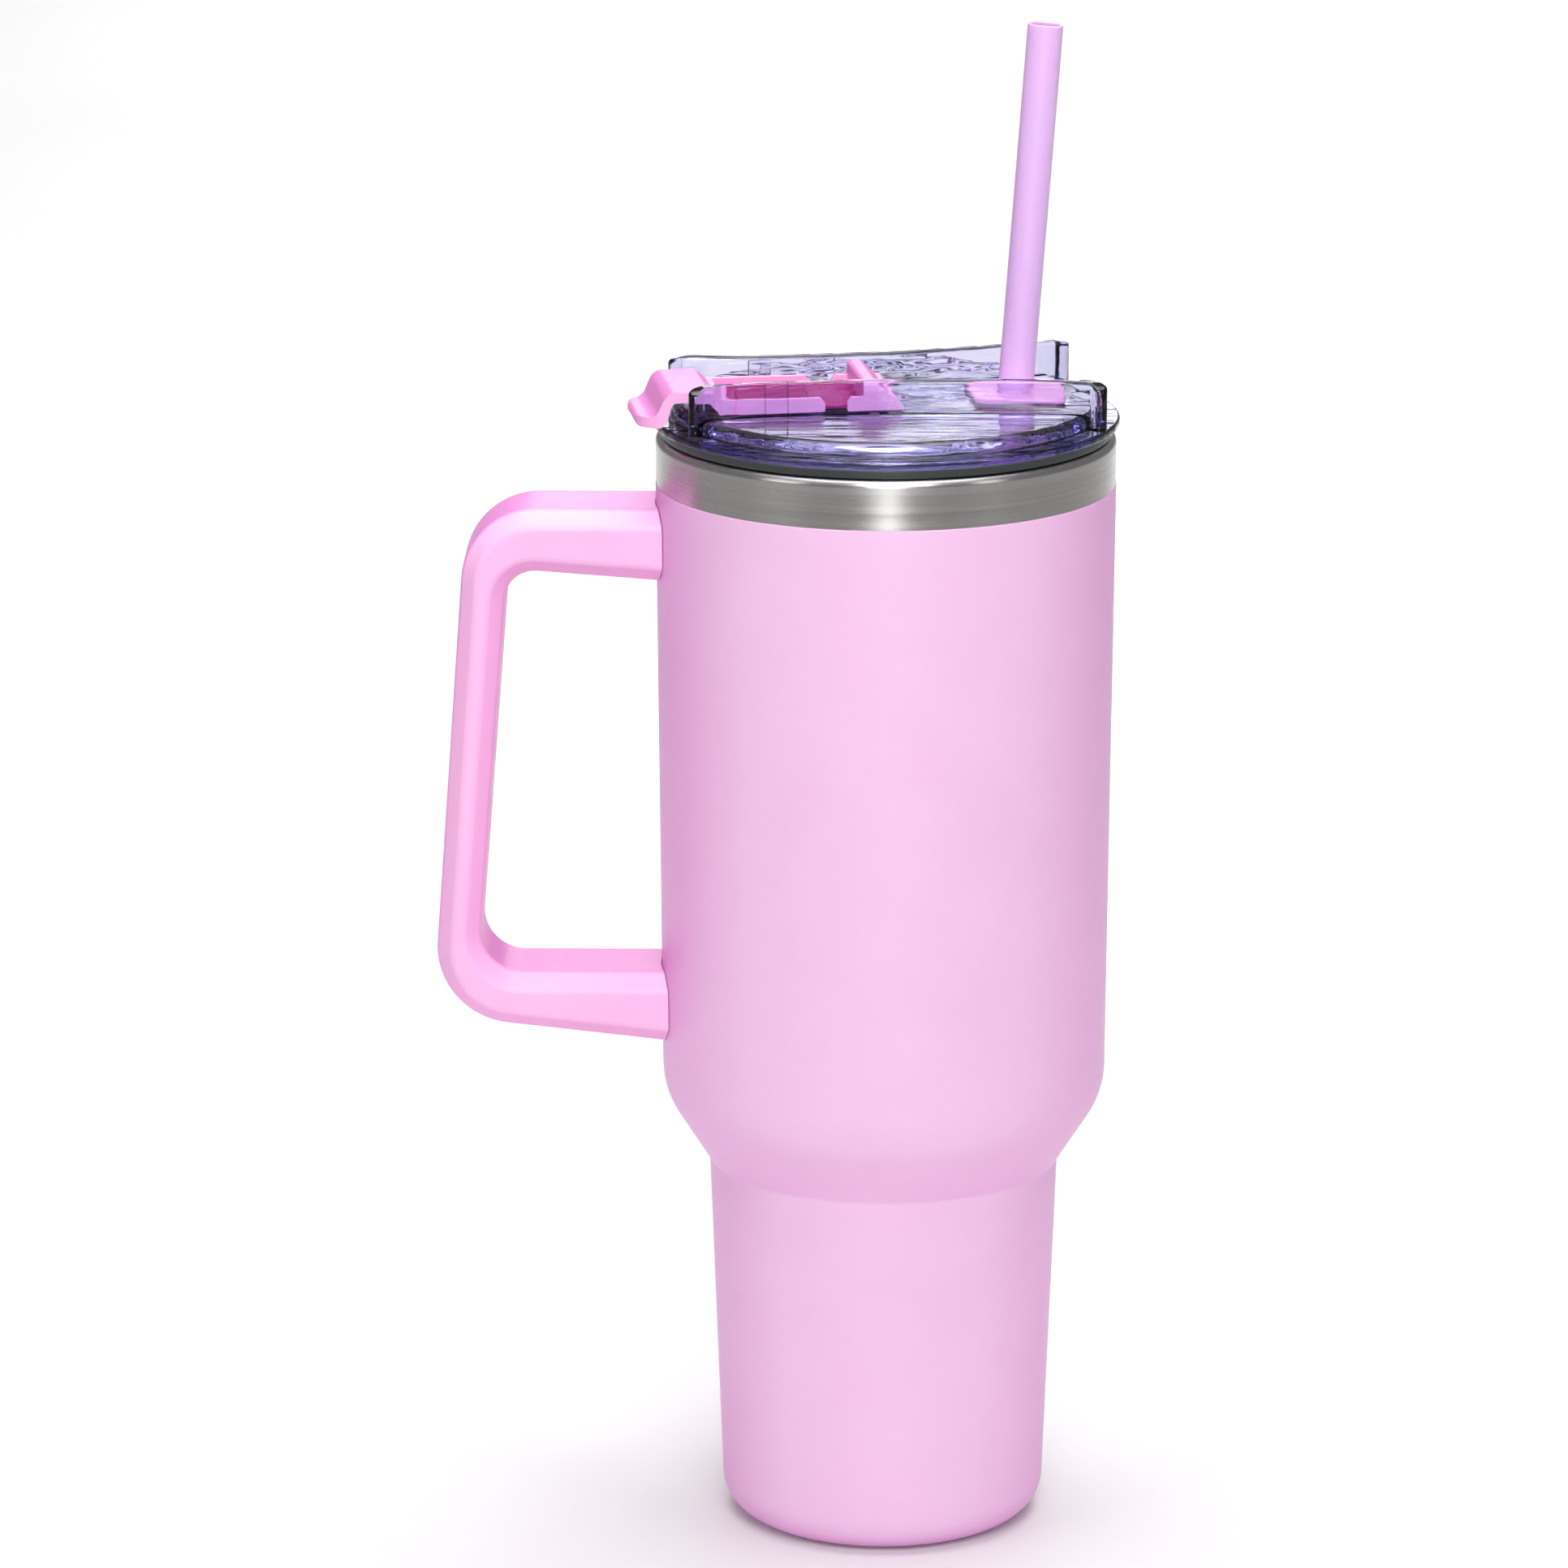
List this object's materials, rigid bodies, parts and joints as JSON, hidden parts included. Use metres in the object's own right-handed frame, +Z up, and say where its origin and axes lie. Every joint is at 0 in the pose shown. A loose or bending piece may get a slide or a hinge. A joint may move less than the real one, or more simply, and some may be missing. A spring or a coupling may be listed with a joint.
{
  "type": "insulated tumbler",
  "caption": "Tall double-walled steel tumbler with a narrow cup-holder base, side handle, clear press-in lid with flip cover, and a straw.",
  "frame": {"origin": "centre of the flat underside, on the body's axis", "axes": "+Z up the body's axis, -X towards the handle, -Y towards the side seen in the picture"},
  "size_m": [0.1466, 0.0998, 0.33],
  "materials": {
    "powder_coat": "matt pink powder coat",
    "brushed_rim": "circumferentially brushed stainless steel",
    "liner_steel": "electropolished stainless steel",
    "handle_plastic": "satin moulded plastic",
    "gasket": "translucent dark grey silicone",
    "clear_lid": "clear plastic with a violet-blue tint",
    "cover_plastic": "satin moulded plastic",
    "soft_seal": "soft silicone",
    "straw_plastic": "satin translucent plastic"
  },
  "bodies": {
    "cup": {"outer_shell": "powder_coat", "rim_band": "brushed_rim", "inner_liner": "liner_steel", "vacuum_bottom": "liner_steel", "getter_pellet": "liner_steel", "base_disc": "brushed_rim", "handle": "handle_plastic", "handle_bracket_upper": "liner_steel", "handle_bracket_lower": "liner_steel", "handle_screw_upper": "liner_steel", "handle_screw_lower": "liner_steel", "screw_plug_upper": "handle_plastic", "screw_plug_lower": "handle_plastic"},
    "lid_seal": {"lid_gasket": "gasket"},
    "lid": {"lid_shell": "clear_lid", "flap_base": "cover_plastic", "living_hinge": "cover_plastic", "straw_grommet": "soft_seal"},
    "cover": {"flip_cover": "cover_plastic", "sip_plug": "soft_seal"},
    "straw": {"straw": "straw_plastic"}
  },
  "joints": [
    {"name": "lid_lift", "type": "slide", "parent": "cup", "child": "lid_seal", "axis": [0, 0, 1], "range_m": [0, 0.235]},
    {"name": "lid_turn", "type": "hinge", "parent": "lid_seal", "child": "lid", "pos_m": [0, 0, 0.25], "axis": [0, 0, 1], "continuous": true},
    {"name": "cover_hinge", "type": "hinge", "parent": "lid", "child": "cover", "pos_m": [-0.01246, -0.00188, 0.251], "axis": [-0.1495, 0.9888, 0], "range_deg": [0, 115]},
    {"name": "straw_slide", "type": "slide", "parent": "lid", "child": "straw", "axis": [0.0735, 0.0111, 0.9972], "range_m": [-0.006, 0.245]}
  ]
}
